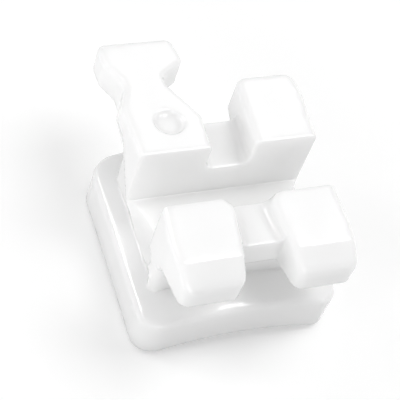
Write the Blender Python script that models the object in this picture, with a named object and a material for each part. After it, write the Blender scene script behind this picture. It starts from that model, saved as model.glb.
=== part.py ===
"""Twin orthodontic bracket with a hook, moulded in one piece of translucent ceramic.

X runs along the archwire slot, +Y points at the hook, +Z points away from the tooth. The origin is the
crown of the bonding face, under the middle of the slot. Sizes are in millimetres and are turned into metres
as each mesh is made.
"""

import math

import bmesh
import bpy
from mathutils import Vector

MM = 0.001

# Pad that is bonded to the tooth
PAD_WIDTH = 3.6
PAD_LENGTH = 3.53
PAD_MIDDLE_Y = 0.045
PAD_CORNER_RADIUS = 0.41
PAD_WALL = 0.745
PAD_RIM_RADIUS = 0.09
TOOTH_RADIUS = 5.0
TOOTH_LENGTH_RADIUS = 30.0

# Retention grooves in the bonding face
GROOVE_WIDTH = 0.2
GROOVE_PITCH = 0.42
GROOVE_DEPTH = 0.1
GROOVE_FLARE = 0.03
GROOVE_MARGIN = 0.36
GROOVE_LAP = 0.1

# Archwire slot; heights are above the middle of the pad's side edges
SLOT_WIDTH = 0.98
SLOT_FLOOR = 1.39
WING_TOP = 2.65

# Wings: reach is from the slot's middle to the tip, and a slope is the rise over the run
LOWER_REACH = 1.96
UPPER_REACH = 2.0
SHALLOW_SLOPE = 0.085
STEEP_SLOPE = 0.5
STEEP_START = 1.53
WING_ROUND = 0.12
TIP_CORNER_RADIUS = 0.2

# Half widths across the outer sides of the wings
LOWER_HALF_WIDTH = 1.51
LOWER_BULGE = 0.045
LOWER_BULGE_Y = 1.2
UPPER_HALF_WIDTH = 1.58
UPPER_BULGE = 0.12
UPPER_BULGE_Y = 1.5
UPPER_TIP_BULGE = 0.08

# Inner sides of the wings, from the bracket's middle plane; the lower ones flare out towards the slot
LOWER_INNER_FLARE = 0.31
LOWER_INNER_TIP = 0.47
FLARE_START_Y = 0.64
FLARE_SLOPE = 0.9
FLARE_RADIUS = 0.2
UPPER_INNER_RIGHT_SLOT = 0.46
UPPER_INNER_RIGHT_TIP = 0.61
UPPER_INNER_LEFT_SLOT = 0.33
UPPER_INNER_LEFT_BEND = 0.27

# Hook: the neck narrows the wing from the bends on, and the head widens again from the shoulders on
HOOK_REACH = 3.055
HOOK_LEFT_BEND_Y = 1.6
HOOK_RIGHT_BEND_Y = 1.22
HOOK_NECK_Y = 2.0
HOOK_NECK_LEFT = 1.41
HOOK_NECK_RIGHT = 0.65
HOOK_SHOULDER_Y = 2.2
HOOK_HEAD_LEFT = 1.6
HOOK_HEAD_LEFT_Y = 2.57
HOOK_HEAD_RIGHT = 0.19
HOOK_HEAD_RIGHT_Y = 2.5
HOOK_BEND_RADIUS = 0.2
HOOK_SHOULDER_RADIUS = 0.1
HOOK_HEAD_RADIUS = 0.15
HOOK_HEAD_DRAFT = 0.06

# Round orientation mark in the hooked wing
DIMPLE_X = -0.885
DIMPLE_Y = 1.142
DIMPLE_RADIUS = 0.27
DIMPLE_FLOOR_RADIUS = 0.14
DIMPLE_DEPTH = 0.085
DIMPLE_SIDES = 32

# Body under the wings: the undersides start at the root heights and rise outwards
BODY_FRONT = 1.06
BODY_BACK = 1.29
BODY_CORNER_RADIUS = 0.18
LOWER_ROOT = 1.79
LOWER_UNDERSIDE_SLOPE = 0.12
UPPER_ROOT = 1.7
UPPER_UNDERSIDE_SLOPE = 0.17
HOOK_UNDERSIDE = 1.88
UNDERCUT_RADIUS = 0.2
BODY_SINK = 0.3

# Bridges between the left and right wings
LOWER_BRIDGE_TOP = 2.365
LOWER_BRIDGE_REACH = 1.29
LOWER_BRIDGE_FILLET = 0.16
UPPER_BRIDGE_TOP = 2.03
UPPER_BRIDGE_REACH = 1.45
UPPER_BRIDGE_FILLET = 0.16

# Pocket along each flank, at the foot of the body
FOOT_HALF_WIDTH = 1.46
FOOT_POCKET_FRONT = 0.98
FOOT_POCKET_RADIUS = 0.3
FOOT_POCKET_STRAIGHT = 0.9
FOOT_POCKET_TOP = 1.46
FOOT_POCKET_RISE = 0.82

# Hollow at each end of the slot
END_HOLLOW_RADIUS = 0.9
END_HOLLOW_DROP = 0.77
END_HOLLOW_RISE = 0.25
END_HOLLOW_DEPTH = 0.28
END_HOLLOW_Y = -0.15

# Fineness of the curves
ARC_STEP = math.radians(10)
ARCH_STRIPS = 25
LENGTH_STRIPS = 9
ROUND_SEGMENTS = 5
DISH_SEGMENTS = 6
HOLLOW_SEGMENTS = 56
HOLLOW_RINGS = 32
FILLET_SEGMENTS = 6
COVE_SEGMENTS = 8

# Ceramic
CERAMIC_COLOUR = (0.93, 0.93, 0.92, 1.0)
CERAMIC_ROUGHNESS = 0.22

# Length by which a tool runs past what it cuts, how far from the slot's middle the wings' inner sides end,
# and the gap between a tool and a side that it runs along
PAST = 0.6
SLOT_CROSSING = 0.2
TOOL_GAP = 0.01

# Points nearer than MERGE are one point, a face bent by less than FLAT is flat, and a face whose normal
# rises by less than UPRIGHT is a side
MERGE = 0.00001
FLAT = math.radians(0.05)
UPRIGHT = 0.05

HALF_SLOT = SLOT_WIDTH / 2
HALF_PAD_WIDTH = PAD_WIDTH / 2
HALF_PAD_LENGTH = PAD_LENGTH / 2
CROWN = TOOTH_RADIUS - math.sqrt(TOOTH_RADIUS**2 - HALF_PAD_WIDTH**2)
BODY_BOTTOM = CROWN + BODY_SINK
ACROSS = UPPER_HALF_WIDTH + UPPER_BULGE + PAST


def clear_scene():
    for item in list(bpy.data.objects):
        bpy.data.objects.remove(item, do_unlink=True)


def ceramic():
    material = bpy.data.materials.new("ceramic")
    material.use_nodes = True
    shader = material.node_tree.nodes["Principled BSDF"]
    shader.inputs["Base Color"].default_value = CERAMIC_COLOUR
    shader.inputs["Roughness"].default_value = CERAMIC_ROUGHNESS
    shader.inputs["Metallic"].default_value = 0.0
    return material


def arch_height(x):
    """Height of the bonding face across the pad, above its side edges."""
    return math.sqrt(TOOTH_RADIUS**2 - x**2) - TOOTH_RADIUS + CROWN


def length_drop(y):
    """How far the bonding face falls along the pad, from its middle towards its ends."""
    return TOOTH_LENGTH_RADIUS - math.sqrt(TOOTH_LENGTH_RADIUS**2 - (y - PAD_MIDDLE_Y) ** 2)


def rounded(corners):
    """Outline through corners (x, y, radius), each rounded by an arc tangent to both of its sides."""
    points = []
    count = len(corners)
    for i, (x, y, radius) in enumerate(corners):
        corner = Vector((x, y))
        before = Vector(corners[i - 1][:2]) - corner
        after = Vector(corners[(i + 1) % count][:2]) - corner
        if radius == 0:
            points.append(corner)
            continue
        before.normalize()
        after.normalize()
        half_angle = before.angle(after) / 2
        centre = corner + (before + after).normalized() * radius / math.sin(half_angle)
        start = corner + before * radius / math.tan(half_angle) - centre
        turn = before.angle_signed(after)
        sweep = math.pi - abs(turn)
        steps = max(2, math.ceil(sweep / ARC_STEP))
        direction = 1 if turn > 0 else -1
        for k in range(steps + 1):
            angle = direction * sweep * k / steps
            spoke = Vector((
                start.x * math.cos(angle) - start.y * math.sin(angle),
                start.x * math.sin(angle) + start.y * math.cos(angle),
            ))
            points.append(centre + spoke)
    return points


def make_object(name, bm, collection):
    """Turns a mesh in millimetres above the pad's side edges into an object in metres."""
    bmesh.ops.recalc_face_normals(bm, faces=bm.faces)
    bmesh.ops.translate(bm, vec=(0, 0, -CROWN), verts=bm.verts)
    bmesh.ops.scale(bm, vec=(MM, MM, MM), verts=bm.verts)
    mesh = bpy.data.meshes.new(name)
    bm.to_mesh(mesh)
    bm.free()
    mesh.shade_smooth()
    item = bpy.data.objects.new(name, mesh)
    collection.objects.link(item)
    return item


def extrude(start, step):
    """Prism from the outline start, moved along the vector step."""
    bm = bmesh.new()
    face = bm.faces.new([bm.verts.new(p) for p in start])
    grown = bmesh.ops.extrude_face_region(bm, geom=[face])
    moved = [v for v in grown["geom"] if isinstance(v, bmesh.types.BMVert)]
    bmesh.ops.translate(bm, vec=step, verts=moved)
    return bm


def extrude_up(plan, low, high):
    """Prism over a plan of points (x, y)."""
    return extrude([(x, y, low) for x, y in plan], (0, 0, high - low))


def extrude_across(profile):
    """Prism across the whole bracket, from a side profile of points (y, z)."""
    return extrude([(-ACROSS, y, z) for y, z in profile], (2 * ACROSS, 0, 0))


def loft(rings):
    """Solid through rings of equally many points, closed at both ends."""
    bm = bmesh.new()
    rows = [[bm.verts.new(p) for p in ring] for ring in rings]
    count = len(rows[0])
    for lower, upper in zip(rows, rows[1:]):
        for i in range(count):
            j = (i + 1) % count
            bm.faces.new((lower[i], lower[j], upper[j], upper[i]))
    bm.faces.new(list(reversed(rows[0])))
    bm.faces.new(rows[-1])
    return bm


def trim(bm, point, normal):
    """Cuts off what lies on the normal's side of a plane and closes the cut."""
    geometry = bm.verts[:] + bm.edges[:] + bm.faces[:]
    cut = bmesh.ops.bisect_plane(
        bm, geom=geometry, plane_co=point, plane_no=normal, clear_outer=True, dist=MERGE
    )
    edges = [e for e in cut["geom_cut"] if isinstance(e, bmesh.types.BMEdge)]
    bmesh.ops.contextual_create(bm, geom=edges)


def slope_normal(slope, side):
    """Normal of a top face that falls by slope for each millimetre towards side."""
    return Vector((0, side * slope, 1)).normalized()


def pad_ring(inset, height):
    """One level of the pad: its rounded outline, set in by inset, over the arched bonding face."""
    half_width = HALF_PAD_WIDTH - inset
    half_length = HALF_PAD_LENGTH - inset
    radius = PAD_CORNER_RADIUS - inset
    straight = half_width - radius
    corner_steps = round(math.pi / 2 / ARC_STEP)
    front = []
    for k in range(corner_steps + 1):
        angle = math.pi / 2 * k / corner_steps
        x = -straight - radius * math.cos(angle)
        front.append((x, -(half_length - radius + radius * math.sin(angle))))
    for k in range(1, ARCH_STRIPS):
        front.append((straight * (2 * k / ARCH_STRIPS - 1), -half_length))
    front += [(-x, y) for x, y in front[corner_steps::-1]]
    back = [(x, -y) for x, y in reversed(front)]
    return [(x, y, arch_height(x) + height) for x, y in front + back]


def make_pad(collection):
    """Plate curved both ways to fit the tooth, with rounded corners, upright walls and a rounded rim."""
    levels = [(0, 0), (0, PAD_WALL)]
    for k in range(1, ROUND_SEGMENTS + 1):
        angle = math.pi / 2 * k / ROUND_SEGMENTS
        inset = PAD_RIM_RADIUS * (1 - math.cos(angle))
        levels.append((inset, PAD_WALL + PAD_RIM_RADIUS * math.sin(angle)))
    bm = bmesh.new()
    rows = [[bm.verts.new(p) for p in pad_ring(*level)] for level in levels]
    count = len(rows[0])
    for lower, upper in zip(rows, rows[1:]):
        for i in range(count):
            j = (i + 1) % count
            bm.faces.new((lower[i], lower[j], upper[j], upper[i]))
    for row in (rows[0], rows[-1]):
        for i in range(count // 2 - 1):
            bm.faces.new((row[i], row[i + 1], row[count - 2 - i], row[count - 1 - i]))
    for k in range(1, LENGTH_STRIPS):
        y = HALF_PAD_LENGTH * (2 * k / LENGTH_STRIPS - 1)
        geometry = bm.verts[:] + bm.edges[:] + bm.faces[:]
        bmesh.ops.bisect_plane(bm, geom=geometry, plane_co=(0, y, 0), plane_no=(0, 1, 0), dist=MERGE)
    for vert in bm.verts:
        vert.co.y += PAD_MIDDLE_Y
        vert.co.z -= length_drop(vert.co.y)
    bmesh.ops.connect_verts_nonplanar(bm, angle_limit=FLAT, faces=bm.faces)
    return make_object("bracket", bm, collection)


def line_x(y, start, end):
    """Where the line through two points (x, y) is at height y."""
    return start[0] + (end[0] - start[0]) * (y - start[1]) / (end[1] - start[1])


def lower_inner_side(far, inset=0):
    """Inner side of the lower right wing, moved off it by inset: from y = -far into the slot."""
    half_turn = math.atan(FLARE_SLOPE) / 2
    tip = (LOWER_INNER_TIP - inset, -LOWER_REACH)
    flare = (LOWER_INNER_FLARE - inset, inset * math.tan(half_turn) - FLARE_START_Y)
    return [
        (line_x(-far, flare, tip), -far, TIP_CORNER_RADIUS),
        (*flare, FLARE_RADIUS + inset),
        (flare[0] - FLARE_SLOPE * (flare[1] + SLOT_CROSSING), -SLOT_CROSSING, 0),
    ]


def upper_right_inner_side(far, inset=0):
    """Inner side of the upper right wing, moved off it by inset: from inside the slot to y = far."""
    slot = (UPPER_INNER_RIGHT_SLOT - inset, HALF_SLOT)
    tip = (UPPER_INNER_RIGHT_TIP - inset, UPPER_REACH)
    return [
        (line_x(SLOT_CROSSING, slot, tip), SLOT_CROSSING, 0),
        (line_x(far, slot, tip), far, TIP_CORNER_RADIUS),
    ]


def upper_left_inner_side(inset=0):
    """Inner side of the hooked wing, moved off it by inset: from inside the slot to the hook's neck."""
    slot = (inset - UPPER_INNER_LEFT_SLOT, HALF_SLOT)
    bend = (inset - UPPER_INNER_LEFT_BEND, HOOK_RIGHT_BEND_Y)
    return [
        (line_x(SLOT_CROSSING, slot, bend), SLOT_CROSSING, 0),
        (*bend, HOOK_BEND_RADIUS + inset),
        (inset - HOOK_NECK_RIGHT, HOOK_NECK_Y, HOOK_SHOULDER_RADIUS),
    ]


def left_outline():
    """Plan of the left wings, from the lower tip up the inner side to the hook and down the outer side."""
    bulge = LOWER_HALF_WIDTH + LOWER_BULGE
    return rounded([
        *((-x, y, radius) for x, y, radius in lower_inner_side(LOWER_REACH)),
        *upper_left_inner_side(),
        (-HOOK_NECK_RIGHT, HOOK_SHOULDER_Y, HOOK_SHOULDER_RADIUS),
        (-HOOK_HEAD_RIGHT, HOOK_HEAD_RIGHT_Y, HOOK_HEAD_RADIUS),
        (-HOOK_HEAD_RIGHT - HOOK_HEAD_DRAFT, HOOK_REACH, HOOK_HEAD_RADIUS),
        (-HOOK_HEAD_LEFT, HOOK_REACH, HOOK_HEAD_RADIUS),
        (-HOOK_HEAD_LEFT, HOOK_HEAD_LEFT_Y, HOOK_HEAD_RADIUS),
        (-HOOK_NECK_LEFT, HOOK_SHOULDER_Y, HOOK_SHOULDER_RADIUS),
        (-HOOK_NECK_LEFT, HOOK_NECK_Y, HOOK_SHOULDER_RADIUS),
        (-UPPER_HALF_WIDTH, HOOK_LEFT_BEND_Y, HOOK_BEND_RADIUS),
        (-UPPER_HALF_WIDTH, HALF_SLOT, 0),
        (-LOWER_HALF_WIDTH, -HALF_SLOT, 0),
        (-bulge, -LOWER_BULGE_Y, 0),
        (-LOWER_HALF_WIDTH, -LOWER_REACH, TIP_CORNER_RADIUS),
    ])


def right_outline():
    """Plan of the right wings, from the lower tip up the inner side and down the outer side."""
    return rounded([
        *lower_inner_side(LOWER_REACH),
        *upper_right_inner_side(UPPER_REACH),
        (UPPER_HALF_WIDTH + UPPER_TIP_BULGE, UPPER_REACH, TIP_CORNER_RADIUS),
        (UPPER_HALF_WIDTH + UPPER_BULGE, UPPER_BULGE_Y, 0),
        (UPPER_HALF_WIDTH, HALF_SLOT, 0),
        (LOWER_HALF_WIDTH, -HALF_SLOT, 0),
        (LOWER_HALF_WIDTH + LOWER_BULGE, -LOWER_BULGE_Y, 0),
        (LOWER_HALF_WIDTH, -LOWER_REACH, TIP_CORNER_RADIUS),
    ])


def make_wings(name, outline, collection):
    """Upright block of one side's two wings, with sloping top faces and rounded top edges."""
    bm = extrude_up(outline, BODY_BOTTOM, WING_TOP + PAST)
    for side in (-1, 1):
        trim(bm, (0, side * HALF_SLOT, WING_TOP), slope_normal(SHALLOW_SLOPE, side))
    steep_top = WING_TOP - SHALLOW_SLOPE * (STEEP_START - HALF_SLOT)
    trim(bm, (0, -STEEP_START, steep_top), slope_normal(STEEP_SLOPE, -1))
    bmesh.ops.remove_doubles(bm, verts=bm.verts, dist=MERGE)
    bmesh.ops.recalc_face_normals(bm, faces=bm.faces)
    bmesh.ops.bevel(
        bm,
        geom=[edge for edge in bm.edges if is_top_edge(edge)],
        offset=WING_ROUND,
        offset_type="OFFSET",
        segments=ROUND_SEGMENTS,
        profile=0.5,
        affect="EDGES",
        clamp_overlap=True,
    )
    return make_object(name, bm, collection)


def is_top_edge(edge):
    """True where a top face meets an upright side."""
    upright, level = sorted(abs(face.normal.z) for face in edge.link_faces)
    return upright < UPRIGHT < level and edge.verts[0].co.z > SLOT_FLOOR


def make_core(collection):
    """Block under the slot, between the left and the right wings."""
    outline = [
        (-LOWER_HALF_WIDTH, -HALF_SLOT),
        (-LOWER_HALF_WIDTH / 2, -BODY_FRONT),
        (LOWER_HALF_WIDTH / 2, -BODY_FRONT),
        (LOWER_HALF_WIDTH, -HALF_SLOT),
        (UPPER_HALF_WIDTH, HALF_SLOT),
        (UPPER_HALF_WIDTH / 2, BODY_BACK),
        (-UPPER_HALF_WIDTH / 2, BODY_BACK),
        (-UPPER_HALF_WIDTH, HALF_SLOT),
    ]
    return make_object("body", extrude_up(outline, BODY_BOTTOM, SLOT_FLOOR + PAST), collection)


def make_web(name, top, fillet, reach, collection):
    """Block between two wings, as high as the fillets that lead from a bridge up to the wings."""
    half = LOWER_HALF_WIDTH / 2
    outline = [(-half, 0), (half, 0), (half, reach), (-half, reach)]
    return make_object(name, extrude_up(outline, BODY_BOTTOM, top + fillet), collection)


def lower_channel(inset):
    """Plan of the space between the lower wings, made narrower by inset on each side."""
    (x, y, _), *rest = lower_inner_side(LOWER_REACH + PAST, inset)
    right = [(x, y, 0), *rest]
    return rounded(right + [(-x, y, radius) for x, y, radius in reversed(right)])


def upper_channel(inset):
    """Plan of the space between the upper wings, made narrower by inset on each side."""
    right = [(x, y, 0) for x, y, _ in upper_right_inner_side(HOOK_NECK_Y, inset)]
    *rest, (x, y, _) = upper_left_inner_side(inset)
    return rounded(right + [(x, y, 0)] + rest[::-1])


def make_channel(name, plan, top, fillet, collection):
    """Space above a bridge, with a fillet along the foot of each wing's inner side."""
    rings = []
    for k in range(FILLET_SEGMENTS + 1):
        angle = math.pi / 2 * k / FILLET_SEGMENTS
        inset = fillet * (1 - math.sin(angle)) + TOOL_GAP
        z = top + fillet * (1 - math.cos(angle))
        rings.append([(x, y, z) for x, y in plan(inset)])
    rings.append([(x, y, WING_TOP + PAST) for x, y in plan(fillet)])
    return make_object(name, loft(rings), collection)


def make_slot(collection):
    low = SLOT_FLOOR
    high = WING_TOP + PAST
    outline = [(-HALF_SLOT, low), (HALF_SLOT, low), (HALF_SLOT, high), (-HALF_SLOT, high)]
    return make_object("slot", extrude_across(outline), collection)


def make_undercut(name, root, ceiling, collection):
    """Space under a pair of wings, as points (y, z): root is the inner corner, ceiling the rest outwards."""
    y, z = root
    far = ceiling[-1][0]
    outline = rounded([
        (y, BODY_BOTTOM - PAST, 0),
        (far, BODY_BOTTOM - PAST, 0),
        *((at, height, 0) for at, height in reversed(ceiling)),
        (y, z, UNDERCUT_RADIUS),
    ])
    return make_object(name, extrude_across(outline), collection)


def make_corner_round(name, side, collection):
    """Space outside one rounded front corner of the body, below the fillet under the wing."""
    along = (BODY_FRONT - HALF_SLOT) / (LOWER_BULGE_Y - HALF_SLOT)
    half_width = LOWER_HALF_WIDTH + LOWER_BULGE * along
    x = half_width + TOOL_GAP - BODY_CORNER_RADIUS
    y = BODY_CORNER_RADIUS - TOOL_GAP - BODY_FRONT
    plan = [(half_width + PAST, y), (half_width + PAST, -BODY_FRONT - PAST), (x, -BODY_FRONT - PAST)]
    for k in range(ROUND_SEGMENTS + 1):
        angle = math.pi / 2 * k / ROUND_SEGMENTS
        plan.append((x + BODY_CORNER_RADIUS * math.sin(angle), y - BODY_CORNER_RADIUS * math.cos(angle)))
    top = LOWER_ROOT - UNDERCUT_RADIUS
    turned = [(side * px, py) for px, py in plan]
    return make_object(name, extrude_up(turned, BODY_BOTTOM - PAST, top), collection)


def make_foot_pocket(name, side, collection):
    """Long shallow pocket that narrows the foot of the body and runs out upwards in a cove."""
    height = FOOT_POCKET_TOP - FOOT_POCKET_STRAIGHT
    depth = UPPER_HALF_WIDTH + UPPER_BULGE - FOOT_HALF_WIDTH
    cove = (height**2 + depth**2) / (2 * depth)
    levels = [BODY_BOTTOM - PAST - FOOT_POCKET_STRAIGHT]
    levels += [height * k / COVE_SEGMENTS for k in range(COVE_SEGMENTS + 1)]
    rings = []
    for level in levels:
        inner = FOOT_HALF_WIDTH + cove - math.sqrt(cove**2 - max(0, level) ** 2)
        outer = HALF_PAD_WIDTH + PAST
        plan = rounded([
            (side * inner, BODY_BACK + PAST, 0),
            (side * inner, BODY_BACK, 0),
            (side * inner, HALF_SLOT, 0),
            (side * inner, -FOOT_POCKET_FRONT, FOOT_POCKET_RADIUS),
            (side * outer, -FOOT_POCKET_FRONT, 0),
            (side * outer, HALF_SLOT, 0),
            (side * outer, BODY_BACK, 0),
            (side * outer, BODY_BACK + PAST, 0),
        ])
        rings.append([(x, y, FOOT_POCKET_STRAIGHT + level + pocket_rise(y)) for x, y in plan])
    return make_object(name, loft(rings), collection)


def pocket_rise(y):
    """How much higher the pocket reaches behind the slot than beside it."""
    along = (y - HALF_SLOT) / (BODY_BACK - HALF_SLOT)
    return FOOT_POCKET_RISE * min(1, max(0, along))


def make_end_hollow(name, side, collection):
    """Rounded hollow that narrows the body at one end of the slot."""
    bm = bmesh.new()
    bmesh.ops.create_uvsphere(bm, u_segments=HOLLOW_SEGMENTS, v_segments=HOLLOW_RINGS, radius=1)
    for vert in bm.verts:
        vert.co.x *= END_HOLLOW_RADIUS
        vert.co.y *= END_HOLLOW_RADIUS
        vert.co.z *= END_HOLLOW_RISE if vert.co.z > 0 else END_HOLLOW_DROP
    centre = UPPER_HALF_WIDTH - END_HOLLOW_DEPTH + END_HOLLOW_RADIUS
    bmesh.ops.translate(bm, vec=(side * centre, END_HOLLOW_Y, SLOT_FLOOR), verts=bm.verts)
    return make_object(name, bm, collection)


def make_dimple(collection):
    """Turned dish whose wall curves from the rim down to a flat floor."""
    top = WING_TOP - SHALLOW_SLOPE * (DIMPLE_Y - HALF_SLOT)
    wall = DIMPLE_RADIUS - DIMPLE_FLOOR_RADIUS
    rings = []
    profile = [(DIMPLE_FLOOR_RADIUS, -DIMPLE_DEPTH)]
    for k in range(1, DISH_SEGMENTS):
        angle = math.pi / 2 * k / DISH_SEGMENTS
        profile.append((
            DIMPLE_FLOOR_RADIUS + wall * math.sin(angle),
            -DIMPLE_DEPTH * math.cos(angle),
        ))
    profile += [(DIMPLE_RADIUS, 0), (DIMPLE_RADIUS, PAST)]
    for radius, height in profile:
        ring = []
        for k in range(DIMPLE_SIDES):
            angle = 2 * math.pi * k / DIMPLE_SIDES
            x = DIMPLE_X + radius * math.cos(angle)
            y = DIMPLE_Y + radius * math.sin(angle)
            ring.append((x, y, top + height - SHALLOW_SLOPE * (y - DIMPLE_Y)))
        rings.append(ring)
    return make_object("dimple", loft(rings), collection)


def make_groove(name, y, collection):
    """Retention groove along the arched bonding face, wider at its floor than at its mouth."""
    half = GROOVE_WIDTH / 2
    reach = math.asin((HALF_PAD_WIDTH - GROOVE_MARGIN) / TOOTH_RADIUS)
    section = [
        (-half, -GROOVE_LAP),
        (half, -GROOVE_LAP),
        (half + GROOVE_FLARE, GROOVE_DEPTH),
        (-half - GROOVE_FLARE, GROOVE_DEPTH),
    ]
    rings = []
    for k in range(ARCH_STRIPS + 1):
        angle = reach * (2 * k / ARCH_STRIPS - 1)
        ring = []
        for offset, depth in section:
            radius = TOOTH_RADIUS + depth
            ring.append((
                radius * math.sin(angle),
                y + offset,
                radius * math.cos(angle) - TOOTH_RADIUS + CROWN - length_drop(y),
            ))
        rings.append(ring)
    return make_object(name, loft(rings), collection)


def add_boolean(item, operation, tools):
    modifier = item.modifiers.new(operation.lower(), "BOOLEAN")
    modifier.operation = operation
    modifier.solver = "EXACT"
    modifier.operand_type = "COLLECTION"
    modifier.collection = tools


def new_group(name):
    group = bpy.data.collections.new(name)
    bpy.context.scene.collection.children.link(group)
    return group


def make_body(collection):
    """Everything that stands on the pad: wings, hook and bridges around the slot."""
    added = new_group("body_parts")
    cuts = new_group("body_cuts")
    body = make_core(collection)
    make_wings("left_wings", left_outline(), added)
    make_wings("right_wings", right_outline(), added)
    make_web("lower_web", LOWER_BRIDGE_TOP, LOWER_BRIDGE_FILLET, -LOWER_BRIDGE_REACH, added)
    make_web("upper_web", UPPER_BRIDGE_TOP, UPPER_BRIDGE_FILLET, UPPER_BRIDGE_REACH, added)
    make_channel("lower_channel", lower_channel, LOWER_BRIDGE_TOP, LOWER_BRIDGE_FILLET, cuts)
    make_channel("upper_channel", upper_channel, UPPER_BRIDGE_TOP, UPPER_BRIDGE_FILLET, cuts)
    make_slot(cuts)
    far = LOWER_REACH + PAST
    rise = LOWER_UNDERSIDE_SLOPE * (far - BODY_FRONT)
    make_undercut("lower_undercut", (-BODY_FRONT, LOWER_ROOT), [(-far, LOWER_ROOT + rise)], cuts)
    level_from = BODY_BACK + (HOOK_UNDERSIDE - UPPER_ROOT) / UPPER_UNDERSIDE_SLOPE
    ceiling = [(level_from, HOOK_UNDERSIDE), (HOOK_REACH + PAST, HOOK_UNDERSIDE)]
    make_undercut("upper_undercut", (BODY_BACK, UPPER_ROOT), ceiling, cuts)
    for name, side in (("left", -1), ("right", 1)):
        make_corner_round(name + "_corner_round", side, cuts)
        make_foot_pocket(name + "_foot_pocket", side, cuts)
        make_end_hollow(name + "_end_hollow", side, cuts)
    make_dimple(cuts)
    add_boolean(body, "UNION", added)
    add_boolean(body, "DIFFERENCE", cuts)
    return body


def main():
    clear_scene()
    model = new_group("model")
    parts = new_group("parts")
    grooves = new_group("grooves")
    bracket = make_pad(model)
    make_body(parts)
    lands = int((HALF_PAD_LENGTH - GROOVE_MARGIN) / GROOVE_PITCH)
    for k in range(-lands, lands):
        make_groove(f"groove_{k + lands + 1}", (k + 0.5) * GROOVE_PITCH, grooves)
    add_boolean(bracket, "UNION", parts)
    add_boolean(bracket, "DIFFERENCE", grooves)
    bracket.data.materials.append(ceramic())
    for item in bpy.data.objects:
        if item is not bracket:
            item.hide_render = True
            item.display_type = "WIRE"


main()
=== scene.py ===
"""Looks of the orthodontic bracket: one piece of polished translucent ceramic on a pale floor.

X runs along the archwire slot, +Y points at the hook, +Z points away from the tooth. Lengths are in metres,
apart from those of the surface that rounds the edges, which is worked out in millimetres.
"""

import math

import bpy
import numpy as np
import openvdb
from mathutils import Matrix, Vector


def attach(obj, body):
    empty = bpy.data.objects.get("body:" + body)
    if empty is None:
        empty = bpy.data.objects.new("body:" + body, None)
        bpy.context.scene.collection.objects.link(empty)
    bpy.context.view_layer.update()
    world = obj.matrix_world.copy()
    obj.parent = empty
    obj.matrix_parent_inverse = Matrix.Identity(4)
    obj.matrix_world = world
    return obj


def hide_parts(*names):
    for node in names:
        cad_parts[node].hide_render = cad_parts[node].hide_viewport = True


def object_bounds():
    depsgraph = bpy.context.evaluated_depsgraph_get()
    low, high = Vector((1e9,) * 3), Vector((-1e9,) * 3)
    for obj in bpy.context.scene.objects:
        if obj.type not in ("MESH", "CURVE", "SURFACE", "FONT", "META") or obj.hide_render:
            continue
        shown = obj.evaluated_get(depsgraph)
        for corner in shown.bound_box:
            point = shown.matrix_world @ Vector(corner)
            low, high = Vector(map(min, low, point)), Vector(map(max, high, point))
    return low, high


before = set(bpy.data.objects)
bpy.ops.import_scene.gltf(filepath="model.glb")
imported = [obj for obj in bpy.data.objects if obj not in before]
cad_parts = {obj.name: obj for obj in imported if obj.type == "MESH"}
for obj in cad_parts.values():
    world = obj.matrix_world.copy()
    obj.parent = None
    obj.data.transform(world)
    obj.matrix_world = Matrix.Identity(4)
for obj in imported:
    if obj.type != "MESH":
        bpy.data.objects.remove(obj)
cad_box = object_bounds()

MM = 0.001
WHITE = (1.0, 1.0, 1.0, 1.0)

# Softened outer edges of the sintered and polished ceramic, in millimetres
EDGE_RADIUS = 0.025
VOXEL = 0.0125

# Voxels that the grid holds past the distance that a surface moves
SPARE_VOXELS = 3

# How freely flat parts of the surface join into larger faces, from 0 to 1
FLATNESS = 0.05

# Ceramic with a fine sintered grain; painted shade makes it greyer low on the pad and body, where the wings
# shade it, fading to the ceramic's own white on the wings
PAINTED_SHADE_COLOUR = (0.86, 0.86, 0.86, 1.0)
WING_COLOUR = (0.955, 0.955, 0.95, 1.0)
PAINTED_SHADE_FULL_BELOW = 0.5 * MM
PAINTED_SHADE_GONE_ABOVE = 1.7 * MM
POLISHED_ROUGHNESS = 0.08
GRAIN_ROUGHNESS = 0.15
GRAIN_SIZE = 0.08 * MM
GRAIN_HEIGHT = 0.0004 * MM
GRAIN_DETAIL = 3.0
CERAMIC_IOR = 1.76
SCATTER_WEIGHT = 1.0
SCATTER_DEPTH = 0.35 * MM
SCATTER_BY_COLOUR = (1.0, 1.0, 1.0)

# Camera: the lens and the sensor are in millimetres
LENS = 123.9
SENSOR = 36.0
CAMERA_PLACE = Vector((-8.63008, -11.37835, 19.51524)) * MM
CAMERA_RIGHT = Vector((0.92674, -0.29812, 0.22862))
CAMERA_DOWN = Vector((-0.12101, -0.81298, -0.56957))
NEAREST_SEEN = 1 * MM
FURTHEST_SEEN = 1000 * MM

# Floor and surroundings: the glow and the world's white are only seen, straight or mirrored
FLOOR_SIZE = 400 * MM
FLOOR_COLOUR = (0.7, 0.7, 0.7, 1.0)
FLOOR_GLOW = 0.35
WORLD_STRENGTH = 0.29
WORLD_SEEN = 1.0

# Soft boxes: the direction from the object, the side, and the level that each lights to by itself
LAMP_DISTANCE = 40 * MM
MIRRORED_LAMPS = {
    "key": ((0.4, -0.02, 0.915), 20 * MM, 0.365),
    "upper": ((0.36, 0.68, 0.637), 12 * MM, 0.03),
    "lower": ((0.395, 0.332, 0.857), 12 * MM, 0.025),
    "rim": ((-0.65, 0.44, 0.57), 13 * MM, 0.16),
    "left_front": ((-0.5, -0.8, 0.3), 30 * MM, 0.24),
    "back": ((0.1, 0.95, 0.25), 30 * MM, 0.05),
}

# These don't show in the gloss, so that the slot's floor stays plain when it is seen along the slot
FILL_LAMPS = {
    "left": ((-0.95, -0.1, 0.22), 30 * MM, 0.42),
    "right": ((0.93, -0.1, 0.3), 30 * MM, 0.28),
}


def add_object(name, data):
    item = bpy.data.objects.new(name, data)
    bpy.context.scene.collection.objects.link(item)
    return item


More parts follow.
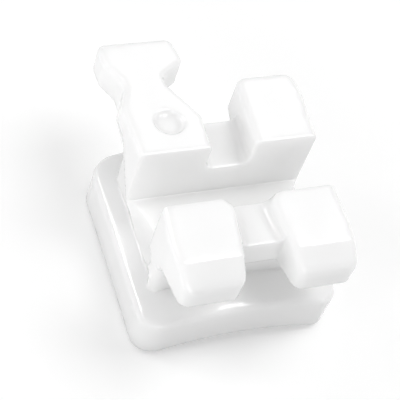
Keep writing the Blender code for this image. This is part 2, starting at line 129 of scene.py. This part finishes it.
def add_node(nodes, kind, **values):
    """New node with its unlinked inputs set by name, _ for a space."""
    node = nodes.new(kind)
    for name, value in values.items():
        node.inputs[name.replace("_", " ")].default_value = value
    return node


def new_material(name):
    """Material with its nodes, its links and its shader."""
    material = bpy.data.materials.new(name)
    material.use_nodes = True
    tree = material.node_tree
    return material, tree.nodes, tree.links, tree.nodes["Principled BSDF"]


def moved_surface(points, triangles, quads, distance, flatness=0.0):
    """Surface that lies distance outside the given one, with larger faces where flatness lets it."""
    grid = openvdb.FloatGrid.createLevelSetFromPolygons(
        points,
        triangles=triangles,
        quads=quads,
        transform=openvdb.createLinearTransform(voxelSize=VOXEL),
        halfWidth=abs(distance) / VOXEL + SPARE_VOXELS,
    )
    return grid.convertToPolygons(distance, flatness)


def cad_surface(node):
    """Points in millimetres, triangles and no quads of a CAD node."""
    mesh = node.data
    mesh.calc_loop_triangles()
    points = np.empty(len(mesh.vertices) * 3, np.float32)
    mesh.vertices.foreach_get("co", points)
    points = points.reshape(-1, 3) / MM
    triangles = np.empty(len(mesh.loop_triangles) * 3, np.int32)
    mesh.loop_triangles.foreach_get("vertices", triangles)
    triangles = triangles.reshape(-1, 3).astype(np.uint32)
    quads = np.empty((0, 4), np.uint32)
    return points, triangles, quads


def softened(node, name):
    """Copy of a CAD node with its outer edges rounded, by shrinking it and growing it back."""
    surface = moved_surface(*cad_surface(node), -EDGE_RADIUS)
    points, triangles, quads = moved_surface(*surface, EDGE_RADIUS, FLATNESS)
    points = np.clip(points * MM, *cad_box)

    # The grid lists each face's points the other way round
    faces = triangles[:, ::-1].tolist() + quads[:, ::-1].tolist()
    mesh = bpy.data.meshes.new(name)
    mesh.from_pydata(points.tolist(), [], faces)
    mesh.update()
    mesh.shade_smooth()
    return add_object(name, mesh)


def painted_shade_by_height(nodes, links, place, shader):
    """Painted shade: colour that turns from a darker grey low on the pad to the wings' own white with the
    height above the tooth.
    """
    split = nodes.new("ShaderNodeSeparateXYZ")
    links.new(place, split.inputs[0])
    height = add_node(nodes, "ShaderNodeMapRange", From_Min=PAINTED_SHADE_FULL_BELOW, From_Max=PAINTED_SHADE_GONE_ABOVE)
    height.interpolation_type = "SMOOTHSTEP"
    links.new(split.outputs["Z"], height.inputs["Value"])
    colour = nodes.new("ShaderNodeValToRGB")
    # Painted shade: the pad's grey stands in for the shade that the wings cast on the pad
    colour.color_ramp.elements[0].color = PAINTED_SHADE_COLOUR
    colour.color_ramp.elements[1].color = WING_COLOUR
    links.new(height.outputs["Result"], colour.inputs[0])
    links.new(colour.outputs["Color"], shader.inputs["Base Color"])


def sintered_grain(nodes, links, place, shader):
    """Fine grain in the polish and in the relief."""
    grain = add_node(nodes, "ShaderNodeTexNoise", Scale=1 / GRAIN_SIZE, Detail=GRAIN_DETAIL)
    links.new(place, grain.inputs["Vector"])
    polish = add_node(nodes, "ShaderNodeMapRange", To_Min=POLISHED_ROUGHNESS, To_Max=GRAIN_ROUGHNESS)
    links.new(grain.outputs["Fac"], polish.inputs["Value"])
    links.new(polish.outputs["Result"], shader.inputs["Roughness"])
    bump = add_node(nodes, "ShaderNodeBump", Distance=GRAIN_HEIGHT)
    links.new(grain.outputs["Fac"], bump.inputs["Height"])
    links.new(bump.outputs["Normal"], shader.inputs["Normal"])


def ceramic():
    material, nodes, links, shader = new_material("ceramic")
    shader.inputs["IOR"].default_value = CERAMIC_IOR
    shader.inputs["Subsurface Weight"].default_value = SCATTER_WEIGHT
    shader.inputs["Subsurface Radius"].default_value = SCATTER_BY_COLOUR
    shader.inputs["Subsurface Scale"].default_value = SCATTER_DEPTH
    place = nodes.new("ShaderNodeTexCoord").outputs["Object"]
    painted_shade_by_height(nodes, links, place, shader)
    sintered_grain(nodes, links, place, shader)
    return material


def larger(nodes, links, first, second):
    """Node output that is the larger of two others."""
    node = nodes.new("ShaderNodeMath")
    node.operation = "MAXIMUM"
    links.new(first, node.inputs[0])
    links.new(second, node.inputs[1])
    return node.outputs[0]


def seen_ray(nodes, links):
    """Node output that is 1 for what the camera sees straight, mirrored or through glass, or else 0."""
    ray = nodes.new("ShaderNodeLightPath").outputs
    straight_or_mirrored = larger(nodes, links, ray["Is Camera Ray"], ray["Is Glossy Ray"])
    return larger(nodes, links, straight_or_mirrored, ray["Is Transmission Ray"])


def floor_matt():
    material, nodes, links, shader = new_material("floor")
    shader.inputs["Base Color"].default_value = FLOOR_COLOUR
    shader.inputs["Roughness"].default_value = 1.0
    shader.inputs["Specular IOR Level"].default_value = 0.0
    shader.inputs["Emission Color"].default_value = WHITE
    glow = nodes.new("ShaderNodeMath")
    glow.operation = "MULTIPLY"
    glow.inputs[1].default_value = FLOOR_GLOW
    links.new(seen_ray(nodes, links), glow.inputs[0])
    links.new(glow.outputs[0], shader.inputs["Emission Strength"])
    return material


def make_floor():
    """Square floor at the height of the object's lowest point."""
    half = FLOOR_SIZE / 2
    height = cad_box[0][2]
    corners = [(-half, -half), (half, -half), (half, half), (-half, half)]
    mesh = bpy.data.meshes.new("floor")
    mesh.from_pydata([(x, y, height) for x, y in corners], [], [(0, 1, 2, 3)])
    mesh.materials.append(floor_matt())
    add_object("floor", mesh)


def make_world():
    """Even soft light from all round, behind which the background is white."""
    world = bpy.data.worlds.new("studio")
    bpy.context.scene.world = world
    world.use_nodes = True
    nodes = world.node_tree.nodes
    links = world.node_tree.links
    background = nodes["Background"]
    background.inputs["Color"].default_value = WHITE
    strength = add_node(nodes, "ShaderNodeMapRange", To_Min=WORLD_STRENGTH, To_Max=WORLD_SEEN)
    links.new(seen_ray(nodes, links), strength.inputs["Value"])
    links.new(strength.outputs["Result"], background.inputs["Strength"])


def make_lamp(name, direction, size, level, mirrored):
    """Square soft box that faces the object.

    At level 1 it would light a white face that is turned to it just to white, with no other light.
    """
    light = bpy.data.lights.new(name, "AREA")
    light.shape = "SQUARE"
    light.size = size
    light.energy = level * (math.pi * LAMP_DISTANCE) ** 2
    lamp = add_object(name, light)
    lamp.location = Vector(direction).normalized() * LAMP_DISTANCE
    lamp.rotation_euler = lamp.location.to_track_quat("Z", "Y").to_euler()
    lamp.visible_glossy = mirrored


def make_camera():
    right = CAMERA_RIGHT.normalized()
    up = -CAMERA_DOWN.normalized()
    back = right.cross(up)
    turn = Matrix((right, up, back)).transposed().to_4x4()
    data = bpy.data.cameras.new("camera")
    data.lens = LENS
    data.sensor_width = SENSOR
    data.clip_start = NEAREST_SEEN
    data.clip_end = FURTHEST_SEEN
    camera = add_object("camera", data)
    camera.matrix_world = Matrix.Translation(CAMERA_PLACE) @ turn
    bpy.context.scene.camera = camera


def make_bracket():
    bracket = softened(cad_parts["bracket"], "bracket_ceramic")
    bracket.data.materials.append(ceramic())
    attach(bracket, "root")
    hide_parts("bracket")


def main():
    bpy.context.scene.view_settings.view_transform = "Standard"
    make_bracket()
    make_floor()
    make_world()
    for name, lamp in MIRRORED_LAMPS.items():
        make_lamp(name, *lamp, mirrored=True)
    for name, lamp in FILL_LAMPS.items():
        make_lamp(name, *lamp, mirrored=False)
    make_camera()


main()
